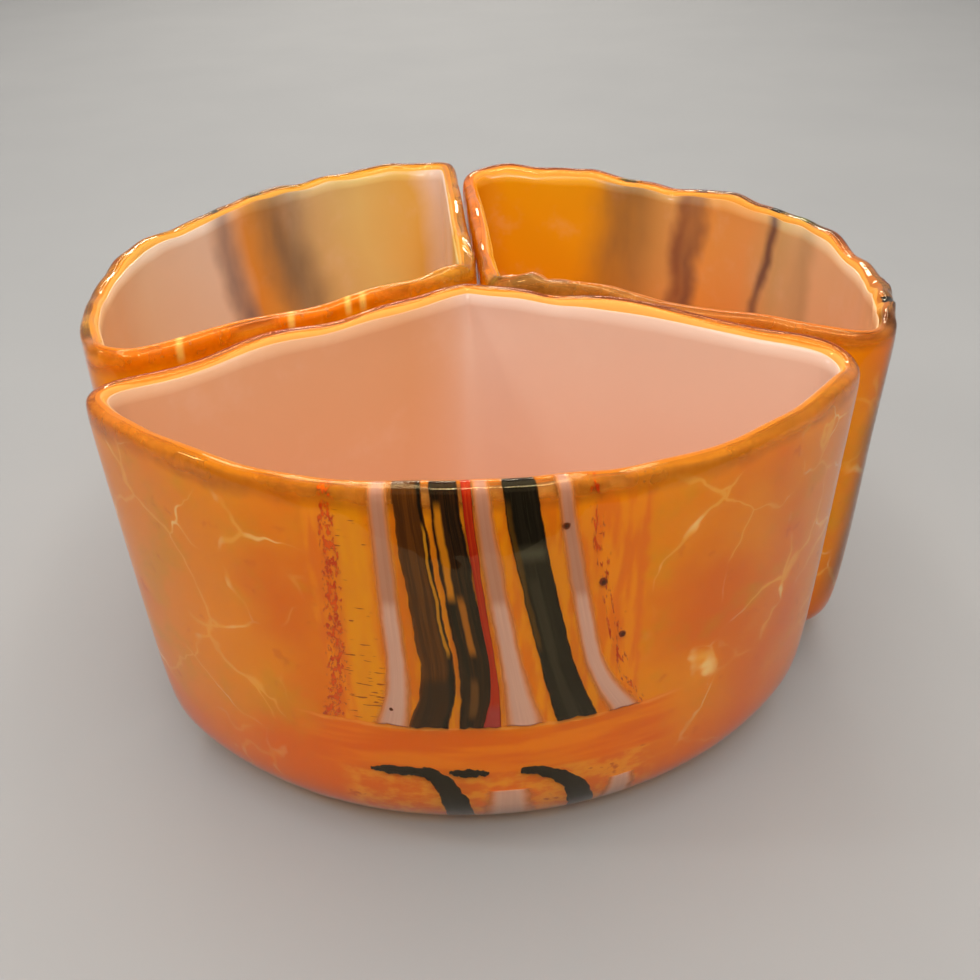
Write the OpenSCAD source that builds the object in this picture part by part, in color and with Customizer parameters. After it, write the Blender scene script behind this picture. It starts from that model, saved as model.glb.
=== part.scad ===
// Set of three loose art glass bowls that stand together as one round bowl. Each bowl fills a
// third of the round. Its wall is an amber casing fused over an opal lining, and coloured glass
// canes are fused into the outer face. Origin: centre of the set, on the table. +Z is up.

/* [Set] */
// Radius of the round that the three bowls make together
set_r = 115; // [105:1:125]
// Height of the rims above the table
bowl_h = 114; // [105:1:125]
// Radius that the round wall tapers to at the table
foot_r = 111.5; // [106:0.5:114]
// Angle that one bowl fills
wedge_angle = 120; // [112:1:120]

/* [Glass] */
// Thickness of the whole wall
wall_t = 5.5; // [5:0.5:8]
// Thickness of the opal lining inside the wall
lining_t = 1.8; // [1:0.1:2.5]
// Thickness of the whole floor
floor_t = 9; // [7:0.5:14]
// Depth of the clear lip above the lining
lip_d = 3.5; // [3:0.5:6]
// Radius of the bend from wall to foot
bend_r = 23; // [18:1:28]
// Radius of the two outer corners in plan
corner_r = 13; // [10:1:18]
// Radius of the inner corner in plan
apex_r = 7; // [6:0.5:10]

/* [Standing places] */
// Gap from each flat side to the line between two bowls, at the rim
side_gap = 1; // [1:0.5:4]
// The same gap at the table
side_gap_foot = 2; // [2:0.5:5]
// Rear left bowl, moved along X
left_x = 5.2; // [3:0.1:5.2]
// Rear left bowl, moved along Y
left_y = 9.2; // [6:0.1:12]
// Rear left bowl, turned
left_turn = 1.2; // [0:0.1:1.2]
// Rear right bowl, moved along X
right_x = 4; // [4:0.1:6]
// Rear right bowl, moved along Y
right_y = -1.4; // [-1.4:0.1:4]
// Rear right bowl, turned
right_turn = 1.1; // [1:0.1:2]

/* [Canes] */
// Height where the cane panel on the front wall ends
panel_z = 47; // [40:1:60]
// Height where the cane tails start again above the foot
tail_z = 30; // [26:1:36]
// Height that a cane stands proud of the wall
cane_proud = 0.35; // [0.2:0.05:0.6]
// Depth that a cane is sunk into the wall
cane_sunk = 0.6; // [0.5:0.05:1]

/* [Hidden] */

half = wedge_angle / 2;
shift_x = -4.6;
shift_y = -3.7;
cane_top = bowl_h - 4;

// Points round one ring: four on the inner corner, nine on each flat side, five on each outer
// corner and twenty-four on the round front.
apex_n = 4;
side_n = 9;
corner_n = 5;
front_n = 24;
ring_n = apex_n + 2 * side_n + 2 * corner_n + front_n;
bend_n = 4;
lip_n = 4;

amber = [0.80, 0.47, 0.06, 0.75];
opal = [0.90, 0.66, 0.56];
cane_white = [0.85, 0.72, 0.70];
cane_brown = [0.17, 0.10, 0.06];
cane_black = [0.10, 0.12, 0.11];
cane_red = [0.72, 0.10, 0.04];
cane_grey = [0.32, 0.34, 0.38];
cane_plum = [0.33, 0.20, 0.22];
cane_green = [0.42, 0.44, 0.26];

// Slow waves of each fire-polished rim: [height, count round the rim, phase]
front_waves = [[0.7, 2, 40], [0.5, 5, 110], [0.3, 9, 200]];
left_waves = [[0.8, 2, 150], [0.6, 5, 20], [0.4, 8, 80]];
right_waves = [[0.8, 3, 250], [0.6, 5, 160], [0.4, 9, 10]];

function sum(v) = v * [for (i = v) 1];
function wave(u, waves) = sum([for (w = waves) w[0] * cos(360 * w[1] * u + w[2])]);
// The waves die out from the rim down to half height.
function lift(z) = pow(max(0, 2 * z / bowl_h - 1), 2);

function arc(c, r, a0, a1, n) =
    [for (i = [0:n - 1]) let (a = a0 + (a1 - a0) * i / (n - 1)) c + r * [cos(a), sin(a)]];
function between(p, q, n) = [for (i = [1:n]) p + (q - p) * i / (n + 1)];
function last(v) = v[len(v) - 1];

// Plan outline of one bowl, with its inner corner near the origin and its front along -Y.
// r: radius, side: gap to the side lines, c and a: radii of the outer and inner corners.
function outline(r, side, c, a) =
    let (
        inner = arc([(side + a) / sin(half), 0], a, 90 + half, 270 - half, apex_n),
        ca = asin((side + c) / (r - c)) - half,
        low = arc((r - c) * [cos(ca), sin(ca)], c, -half - 90, ca, corner_n),
        high = [for (i = [corner_n - 1:-1:0]) [low[i].x, -low[i].y]],
        front = [for (i = [1:front_n]) let (t = ca - 2 * ca * i / (front_n + 1))
            r * [cos(t), sin(t)]]
    )
    [for (p = concat(inner, between(last(inner), low[0], side_n), low, front, high,
        between(last(high), inner[0], side_n))) [p.y, -p.x]];

function wall_r(z) = foot_r + (set_r - foot_r) * z / bowl_h;
function wall_side(z) = side_gap_foot + (side_gap - side_gap_foot) * z / bowl_h;

// One ring of the glass. deep: depth into the wall, bend: how far the bend draws it in.
function ring(z, deep, bend, waves) =
    let (line = outline(wall_r(z) - deep - bend, wall_side(z) + deep + bend,
        max(corner_r - deep, 4), max(apex_r - deep, 2)))
    [for (i = [0:ring_n - 1]) [line[i].x, line[i].y, z + lift(z) * wave(i / ring_n, waves)]];

// Rings from the floor up to the wall, for a face that is deep inside the wall
function bend_rings(z0, r, deep, waves) =
    [for (i = [0:bend_n]) let (t = 90 * i / bend_n)
        ring(z0 + r * (1 - cos(t)), deep, r * (1 - sin(t)), waves)];
function wall_rings(deep, waves) =
    [ring(0.6 * bowl_h, deep, 0, waves), ring(0.85 * bowl_h, deep, 0, waves)];
function lip_rings(waves) =
    [for (i = [0:lip_n]) let (t = 180 * i / lip_n)
        ring(bowl_h - wall_t / 2 * (1 - sin(t)), wall_t / 2 * (1 - cos(t)), 0, waves)];
function reversed(v) = [for (i = [len(v) - 1:-1:0]) v[i]];
// The seam between casing and lining, from the lip down to the floor
function seam_rings(waves) =
    concat([ring(bowl_h - lip_d, wall_t - lining_t, 0, waves)],
        reversed(wall_rings(wall_t - lining_t, waves)),
        reversed(bend_rings(floor_t - lining_t, bend_r - wall_t + lining_t,
            wall_t - lining_t, waves)));

// A closed solid through a list of rings, with a fan of triangles from a middle point at each
// end. out is true where the first ring faces down.
function middle(r) = [for (k = [0:2]) sum([for (p = r) p[k]]) / len(r)];
module ring_solid(rings, out) {
    n = ring_n;
    top = (len(rings) - 1) * n;
    low_mid = len(rings) * n;
    bands = [for (j = [0:len(rings) - 2], i = [0:n - 1])
        let (k = (i + 1) % n, a = j * n, b = a + n)
        each [[a + i, b + i, b + k], [a + i, b + k, a + k]]];
    ends = [for (i = [0:n - 1]) let (k = (i + 1) % n)
        each [[low_mid, i, k], [low_mid + 1, top + k, top + i]]];
    faces = concat(bands, ends);
    points = concat([for (r = rings) each r], [middle(rings[0]), middle(last(rings))]);
    polyhedron(points,
        out ? faces : [for (f = faces) reversed(f)]);
}

module casing(waves) {
    color(amber)
    ring_solid(concat(bend_rings(0, bend_r, 0, waves), wall_rings(0, waves), lip_rings(waves),
        [ring(bowl_h - lip_d, wall_t, 0, waves)], seam_rings(waves)), true);
}

module lining(waves) {
    color(opal)
    ring_solid(concat(bend_rings(floor_t, bend_r - wall_t, wall_t, waves),
        wall_rings(wall_t, waves), [ring(bowl_h - lip_d, wall_t, 0, waves)],
        seam_rings(waves)), false);
}

// A point of the outer face at an angle from -Y and a height, and the way that it faces
function bend_angle(z) = z < bend_r ? acos(1 - z / bend_r) : 90;
function face_point(angle, z) =
    let (r = wall_r(z) - bend_r * (1 - sin(bend_angle(z))))
    [r * sin(angle), -r * cos(angle), z];
function face_normal(angle, z) =
    let (t = bend_angle(z))
    [sin(t) * sin(angle), -sin(t) * cos(angle), -cos(t)];
function unit(v) = v / norm(v);

// A cane that lies in the outer face. path: [angle, height, width] from one end to the other.
module cane(path) {
    n = 5;
    count = len(path);
    centre = [for (p = path) face_point(p[0], p[1])];
    sections = [for (j = [0:count - 1])
        let (
            normal = face_normal(path[j][0], path[j][1]),
            run = unit(centre[min(j + 1, count - 1)] - centre[max(j - 1, 0)]),
            across = unit(cross(run, normal)),
            w = path[j][2] / 2,
            c = centre[j]
        )
        each [c - across * w - normal * cane_sunk, c - across * 0.8 * w + normal * cane_proud,
            c + normal * cane_proud, c + across * 0.8 * w + normal * cane_proud,
            c + across * w - normal * cane_sunk]];
    bands = [for (j = [0:count - 2], i = [0:n - 1])
        let (k = (i + 1) % n, a = j * n, b = a + n)
        each [[a + i, a + k, b + k], [a + i, b + k, b + i]]];
    first = [for (i = [n - 1:-1:0]) i];
    end = [for (i = [0:n - 1]) (count - 1) * n + i];
    polyhedron(sections, concat(bands, [first, end]));
}

// A long cane down the wall, bowed from angle a0 through a1 to a2 and widening on the way
function cane_path(a0, a1, a2, w0, w2, z0, z2) =
    [for (i = [0:7]) let (t = i / 7)
        [a0 * (1 - t) * (1 - t) + 2 * a1 * t * (1 - t) + a2 * t * t,
            z0 + (z2 - z0) * t, w0 + (w2 - w0) * t]];
module panel_cane(a0, a1, a2, w0, w2) {
    cane(cane_path(a0, a1, a2, w0, w2, cane_top, panel_z));
}
module wall_cane(a0, a1, a2, w0, w2) {
    cane(cane_path(a0, a1, a2, w0, w2, cane_top, tail_z));
}
// A hooked tail that starts flat under the panel and turns down round the foot
module tail(angle, reach, w, z_low) {
    cane([for (i = [0:6]) let (t = 90 * i / 6)
        [angle + reach * sin(t), z_low + (tail_z - z_low) * cos(t), w * (0.5 + 0.5 * sin(t))]]);
}

module front_place() {
    translate([shift_x, shift_y, 0]) children();
}
module rear_left_place() {
    translate([shift_x + left_x, shift_y + left_y, 0]) rotate([0, 0, left_turn - 120]) children();
}
module rear_right_place() {
    translate([shift_x + right_x, shift_y + right_y, 0])
    rotate([0, 0, right_turn + 120]) children();
}

module front_casing() { front_place() casing(front_waves); }
module front_lining() { front_place() lining(front_waves); }
module front_red_band() {
    front_place() color(cane_red) panel_cane(-18, -18.6, -19.4, 4, 5);
}
module front_white_cane_left() {
    front_place() color(cane_white) panel_cane(-12.9, -11.5, -12.4, 4.5, 9);
}
module front_brown_cane_left() {
    front_place() color(cane_brown) panel_cane(-9.1, -8.3, -7.7, 6, 9);
}
module front_brown_cane_right() {
    front_place() color(cane_brown) panel_cane(-4.9, -4, -3, 4.5, 8);
}
module front_red_thread() {
    front_place() color(cane_red) panel_cane(-3.1, -1.9, -0.4, 1.2, 1.2);
}
module front_white_cane_middle() {
    front_place() color(cane_white) panel_cane(-0.9, 0.5, 3.1, 6, 10);
}
module front_black_cane() {
    front_place() color(cane_black) panel_cane(2.9, 4.8, 8.9, 7.6, 10.8);
}
module front_white_cane_right() {
    front_place() color(cane_white) panel_cane(7.9, 9.3, 14.8, 3.5, 9);
}
module front_red_flecks() {
    front_place() color(cane_red) panel_cane(10.8, 12.6, 18, 2.5, 3);
}
module front_dark_tails() {
    front_place() color(cane_black) {
        tail(-14.5, 7.5, 7, 8);
        tail(3, 7.5, 7, 8);
        cane([for (i = [-2:2]) [1.1 * i - 3.6, tail_z - 0.3 * i * i, 3.4 - 0.5 * i * i]]);
    }
}
module front_white_tails() {
    front_place() color(cane_white) {
        cane([for (i = [0:3]) [1 - 0.2 * i, 22 - 4 * i, 10 + i]]);
        cane([for (i = [0:3]) [16.2 - 0.2 * i, 21 - 4 * i, 7 + 0.5 * i]]);
    }
}

module rear_left_casing() { rear_left_place() casing(left_waves); }
module rear_left_lining() { rear_left_place() lining(left_waves); }
module rear_left_grey_cane() {
    rear_left_place() color(cane_grey) wall_cane(-8.5, -10, -14, 6, 10);
}
module rear_left_dark_cane() {
    rear_left_place() color(cane_grey) wall_cane(-18, -22, -29, 8, 14);
}

module rear_right_casing() { rear_right_place() casing(right_waves); }
module rear_right_lining() { rear_right_place() lining(right_waves); }
module rear_right_smoke_cane() {
    rear_right_place() color(cane_grey) wall_cane(26, 27, 29, 10, 15);
}
module rear_right_plum_cane() {
    rear_right_place() color(cane_plum) wall_cane(11, 13.5, 16.5, 7, 9);
}
module rear_right_dark_cane() {
    rear_right_place() color(cane_black) wall_cane(-5.7, -4, -1.5, 4.5, 5.5);
}
module rear_right_green_cane() {
    rear_right_place() color(cane_green) wall_cane(-12, -12.5, -13, 8, 10);
}
module rear_right_end_cane() {
    rear_right_place() color(cane_black) wall_cane(-46, -46.5, -47, 4, 3);
}

front_casing();
front_lining();
front_red_band();
front_white_cane_left();
front_brown_cane_left();
front_brown_cane_right();
front_red_thread();
front_white_cane_middle();
front_black_cane();
front_white_cane_right();
front_red_flecks();
front_dark_tails();
front_white_tails();
rear_left_casing();
rear_left_lining();
rear_left_grey_cane();
rear_left_dark_cane();
rear_right_casing();
rear_right_lining();
rear_right_smoke_cane();
rear_right_plum_cane();
rear_right_dark_cane();
rear_right_green_cane();
rear_right_end_cane();
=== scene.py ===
import math

import bmesh
import bpy
from mathutils import Matrix, Vector, noise
from mathutils.bvhtree import BVHTree


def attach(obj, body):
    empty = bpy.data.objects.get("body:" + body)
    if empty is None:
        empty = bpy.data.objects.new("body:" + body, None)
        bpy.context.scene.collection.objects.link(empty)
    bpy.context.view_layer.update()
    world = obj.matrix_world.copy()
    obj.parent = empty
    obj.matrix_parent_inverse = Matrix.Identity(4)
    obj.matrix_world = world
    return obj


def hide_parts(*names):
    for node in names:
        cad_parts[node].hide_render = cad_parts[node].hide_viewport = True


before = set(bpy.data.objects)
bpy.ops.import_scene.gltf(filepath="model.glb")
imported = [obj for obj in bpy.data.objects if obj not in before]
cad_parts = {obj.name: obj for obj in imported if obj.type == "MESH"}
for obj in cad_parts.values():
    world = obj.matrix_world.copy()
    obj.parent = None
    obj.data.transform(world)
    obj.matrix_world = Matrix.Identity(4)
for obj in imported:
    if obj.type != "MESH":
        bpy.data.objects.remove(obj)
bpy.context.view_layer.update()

# ---------------------------------------------------------------- sizes and places, in metres
MM = 0.001
SET_RADIUS = 115 * MM
RIM_Z = 114 * MM
LIP = 2.75 * MM            # half of the wall, the radius of the rounded rim
MIDDLE_Z = 60 * MM         # height of a point in the hollow of a bowl
MERGE = 0.002 * MM
SET_X, SET_Y = -4.6 * MM, -3.7 * MM
# Where each bowl stands: shift from the centre of the set, and the way its front faces
PLACES = {
    "front": (0.0, 0.0, 0.0),
    "rear_left": (5.2 * MM, 9.2 * MM, math.radians(1.2 - 120)),
    "rear_right": (4.0 * MM, -1.4 * MM, math.radians(1.1 + 120)),
}


# Seed, size of the quick rim waves and size of the nicks at the right-hand end
WORK = {"front": (1.7, 0.7, 0.0), "rear_left": (5.3, 1.5, 0.0), "rear_right": (9.1, 1.4, 1.6)}


def place(bowl):
    x, y, turn = PLACES[bowl]
    return Matrix.Translation((SET_X + x, SET_Y + y, 0)) @ Matrix.Rotation(turn, 4, "Z")


# ---------------------------------------------------------------- mesh helpers
def add_piece(name, bm, material, body, *nodes, finish=None):
    mesh = bpy.data.meshes.new(name)
    bm.to_mesh(mesh)
    bm.free()
    mesh.materials.append(material)
    for face in mesh.polygons:
        face.use_smooth = True
    piece = bpy.data.objects.new(name, mesh)
    bpy.context.scene.collection.objects.link(piece)
    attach(piece, body)
    if nodes:
        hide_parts(*nodes)
    return piece


def cad_copy(node):
    """The shape of a CAD node as one joined mesh of quads."""
    bm = bmesh.new()
    bm.from_mesh(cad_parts[node].data)
    bmesh.ops.remove_doubles(bm, verts=bm.verts, dist=MERGE)
    bmesh.ops.join_triangles(
        bm, faces=bm.faces, angle_face_threshold=math.radians(50),
        angle_shape_threshold=math.radians(70),
    )
    bm.normal_update()
    return bm


def smoothed(bm, levels):
    """The mesh after Catmull-Clark subdivision."""
    mesh = bpy.data.meshes.new("cage")
    bm.to_mesh(mesh)
    bm.free()
    cage = bpy.data.objects.new("cage", mesh)
    bpy.context.scene.collection.objects.link(cage)
    modifier = cage.modifiers.new("smooth", "SUBSURF")
    modifier.levels = modifier.render_levels = levels
    graph = bpy.context.evaluated_depsgraph_get()
    result = bpy.data.meshes.new_from_object(cage.evaluated_get(graph))
    out = bmesh.new()
    out.from_mesh(result)
    bpy.data.objects.remove(cage)
    bpy.data.meshes.remove(mesh)
    bpy.data.meshes.remove(result)
    return out


def ramp(x, low, high):
    t = min(1.0, max(0.0, (x - low) / (high - low)))
    return t * t * (3 - 2 * t)


def hand_worked(bm, bowl):
    """Waves of worked glass: slow in the wall, stronger in the rim, none under the foot."""
    seed, rim_wave, nicks = WORK[bowl]
    shift = Vector((seed, 0, 0))
    inverse = place(bowl).inverted()
    for vert in bm.verts:
        co = vert.co
        local = inverse @ co
        angle = math.degrees(math.atan2(local.x, -local.y))
        round_part = ramp(-abs(angle), -56, -48)
        broken = nicks * ramp(-angle, 30, 44) * round_part
        slow = noise.noise_vector(co * 26 + shift) * 0.35 * MM
        quick = noise.noise_vector(co * 80 + shift) * MM
        rough = noise.noise_vector(co * 190 + shift) * MM
        near_rim = ramp(co.z, 0.86 * RIM_Z, RIM_Z)
        size = rim_wave * (0.15 + 0.85 * round_part)
        long_wave = noise.noise(co * 38 + shift * 2) * 2.6 * MM * (1 - round_part)
        move = slow + (quick * 0.4 * size + rough * 0.7 * broken) * near_rim
        move = move * (0.45 + 0.55 * round_part)
        move.z = slow.z + (quick.z * size + rough.z * broken + long_wave) * near_rim
        move.z = move.z * ramp(co.z, 2 * MM, 25 * MM)
        vert.co = co + move * ramp(co.z, 0, 10 * MM)


def wall_map(bm, bowl):
    """UV: u is the angle in the bowl over 100 degrees, v is the height over 100 mm."""
    layer = bm.loops.layers.uv.new("wall")
    inverse = place(bowl).inverted()
    for face in bm.faces:
        for loop in face.loops:
            local = inverse @ loop.vert.co
            angle = math.degrees(math.atan2(local.x, -local.y))
            loop[layer].uv = (angle / 100, local.z * 10)


# ---------------------------------------------------------------- material helpers
class Maker:
    """Short forms for the nodes of one material."""

    def __init__(self, name):
        self.material = bpy.data.materials.new(name)
        self.material.use_nodes = True
        self.tree = self.material.node_tree
        self.nodes = self.tree.nodes
        self.shader = self.nodes["Principled BSDF"]
        self.output = self.nodes["Material Output"]

    def add(self, kind, inputs=None, **settings):
        node = self.nodes.new(kind)
        for key, value in settings.items():
            setattr(node, key, value)
        for key, value in (inputs or {}).items():
            if isinstance(value, bpy.types.NodeSocket):
                self.tree.links.new(value, node.inputs[key])
            else:
                node.inputs[key].default_value = value
        return node

    def link(self, out, socket):
        self.tree.links.new(out, socket)

    def math(self, operation, a, b=0.0, c=0.0):
        return self.add("ShaderNodeMath", {0: a, 1: b, 2: c}, operation=operation).outputs[0]

    def fit(self, value, low, high, start=0.0, end=1.0):
        node = self.add(
            "ShaderNodeMapRange",
            {"Value": value, "From Min": low, "From Max": high, "To Min": start, "To Max": end},
            interpolation_type="SMOOTHSTEP",
        )
        return node.outputs["Result"]

    def mix(self, factor, a, b):
        node = self.add("ShaderNodeMix", data_type="RGBA")
        for key, value in ((0, factor), (6, a), (7, b)):
            if isinstance(value, bpy.types.NodeSocket):
                self.tree.links.new(value, node.inputs[key])
            else:
                node.inputs[key].default_value = value
        return node.outputs[2]

    def place_of(self):
        return self.add("ShaderNodeTexCoord").outputs["Object"]

    def wall(self):
        """(angle / 100, height / 100 mm) of the wall map"""
        uv = self.add("ShaderNodeUVMap", uv_map="wall").outputs["UV"]
        split = self.add("ShaderNodeSeparateXYZ", {0: uv})
        return split.outputs[0], split.outputs[1]

    def noise(self, where, scale, detail=3.0, rough=0.5):
        return self.add(
            "ShaderNodeTexNoise",
            {"Vector": where, "Scale": scale, "Detail": detail, "Roughness": rough},
        ).outputs["Fac"]

    def stretched(self, where, x, y, z):
        return self.add("ShaderNodeMapping", {"Vector": where, "Scale": (x, y, z)}).outputs[0]

    def bump(self, height, strength, distance):
        node = self.add(
            "ShaderNodeBump", {"Height": height, "Strength": strength, "Distance": distance}
        )
        self.link(node.outputs[0], self.shader.inputs["Normal"])

    def stripe(self, u, v, top, foot, width, soft, wobble):
        """1 on a stripe whose angle goes from top (at the rim) to foot, 0 beside it."""
        centre = self.math("MULTIPLY_ADD", v, (top - foot) / 114, foot / 100)
        away = self.math("ABSOLUTE", self.math("SUBTRACT", self.math("ADD", u, wobble), centre))
        return self.fit(away, (width / 2 + soft) / 100, max(0.0, width / 2 - soft) / 100)


def rgb(r, g, b):
    """A colour given in screen values, as linear light."""
    def linear(c):
        c = c / 255
        return c / 12.92 if c <= 0.04045 else ((c + 0.055) / 1.055) ** 2.4
    return (linear(r), linear(g), linear(b), 1)


def glass_material(name, tint, density):
    """Clear tinted glass. Lamps shine through it onto the colour underneath."""
    m = Maker(name)
    s = m.shader.inputs
    s["Base Color"].default_value = (1, 1, 1, 1)
    s["Roughness"].default_value = 0.015
    s["IOR"].default_value = 1.5
    s["Transmission Weight"].default_value = 1
    s["Specular IOR Level"].default_value = 0.42
    s["Specular Tint"].default_value = (1, 0.82, 0.42, 1)
    m.bump(m.noise(m.place_of(), 55, 2), 0.2, 0.0012)
    rays = m.add("ShaderNodeLightPath")
    through = m.add("ShaderNodeBsdfTransparent", {"Color": (1, 0.93, 0.82, 1)})
    mixed = m.add("ShaderNodeMixShader", {0: rays.outputs["Is Shadow Ray"]})
    m.link(m.shader.outputs[0], mixed.inputs[1])
    m.link(through.outputs[0], mixed.inputs[2])
    m.link(mixed.outputs[0], m.output.inputs["Surface"])
    volume = m.add("ShaderNodeVolumeAbsorption", {"Color": tint, "Density": density})
    m.link(volume.outputs[0], m.output.inputs["Volume"])
    return m.material


def matt_inside(m, colour):
    """Coloured glass that lies under the clear glass, so it has no gloss of its own."""
    m.link(colour, m.shader.inputs["Base Color"])
    m.shader.inputs["Roughness"].default_value = 0.6
    m.shader.inputs["Specular IOR Level"].default_value = 0.0


def span(m, value, low, high, soft):
    """1 between low and high, 0 outside, with soft ends."""
    return m.math("MULTIPLY", m.fit(value, low - soft, low + soft),
                  m.fit(value, high + soft, high - soft))


def both(m, *masks):
    result = masks[0]
    for mask in masks[1:]:
        result = m.math("MULTIPLY", result, mask)
    return result


def tone_ring(m, u, tones):
    """Colours placed round a bowl. tones: (u, colour) with u rising."""
    node = m.add("ShaderNodeValToRGB", {0: m.math("MULTIPLY_ADD", u, 1 / 1.24, 0.5)})
    stops = node.color_ramp.elements
    first, last = tones[0], tones[-1]
    stops[0].position = (first[0] + 0.62) / 1.24
    stops[0].color = first[1]
    stops[1].position = (last[0] + 0.62) / 1.24
    stops[1].color = last[1]
    for where, colour in tones[1:-1]:
        stops.new((where + 0.62) / 1.24).color = colour
    return node.outputs[0]


def rim_tones(m, base, v, rim_colour, glow, opal, at, solid):
    """The rim: its own colour with clear gaps, a thin glow where the lining's edge shines
    through, and the lining's colour on the side that faces the hollow."""
    rag = m.noise(at, 60, 3)
    high = m.fit(m.math("MULTIPLY_ADD", rag, 0.05, v), 1.09, 1.14)
    base = m.mix(m.math("MULTIPLY", high, 0.85), base, rim_colour)
    side = m.add("ShaderNodeAttribute", attribute_name="inner").outputs["Fac"]
    bent = m.math("MULTIPLY_ADD", rag, 0.3, m.math("SUBTRACT", side, 0.15))
    base = m.mix(m.math("MULTIPLY", m.fit(bent, 0.05, 0.3), 0.6), base, glow)
    base = m.mix(m.fit(bent, 0.72, 0.84), base, opal)
    gaps = m.fit(m.noise(at, 48, 4, 0.65), 0.38, 0.62, solid[0], solid[1])
    clear = m.math("MULTIPLY", high, m.fit(bent, 0.2, 0.05))
    amount = m.math("MULTIPLY", clear, m.math("SUBTRACT", 1.0, gaps))
    m.link(m.math("SUBTRACT", 1.0, amount), m.shader.inputs["Alpha"])
    return base


def veins(m, at, base, shown, scale):
    """Pale splits between large cells, thin with a soft glow and bright knots."""
    bend = m.add("ShaderNodeTexNoise", {"Vector": at, "Scale": 45.0, "Detail": 3.0})
    bent = m.add("ShaderNodeVectorMath", {0: bend.outputs["Color"], 1: (0.02, 0.02, 0.02)},
                 operation="MULTIPLY")
    where = m.add("ShaderNodeVectorMath", {0: at, 1: bent.outputs[0]}, operation="ADD")
    cells = m.add("ShaderNodeTexVoronoi", {"Vector": where.outputs[0], "Scale": scale},
                  feature="DISTANCE_TO_EDGE").outputs["Distance"]
    swell = m.fit(m.noise(at, 70, 2), 0.35, 0.7, 0.35, 1.3)
    cells = m.math("DIVIDE", cells, swell)
    glow = m.math("MULTIPLY", m.fit(cells, 0.15, 0.0), shown)
    thin = m.math("MULTIPLY", m.fit(cells, 0.04, 0.005), shown)
    knot = m.math("MULTIPLY", thin, m.fit(m.noise(at, 90, 2), 0.52, 0.68))
    base = m.mix(m.math("MULTIPLY", glow, 0.3), base, rgb(240, 170, 60))
    base = m.mix(m.math("MULTIPLY", thin, 0.7), base, rgb(250, 206, 100))
    return m.mix(knot, base, rgb(255, 240, 205))


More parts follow.
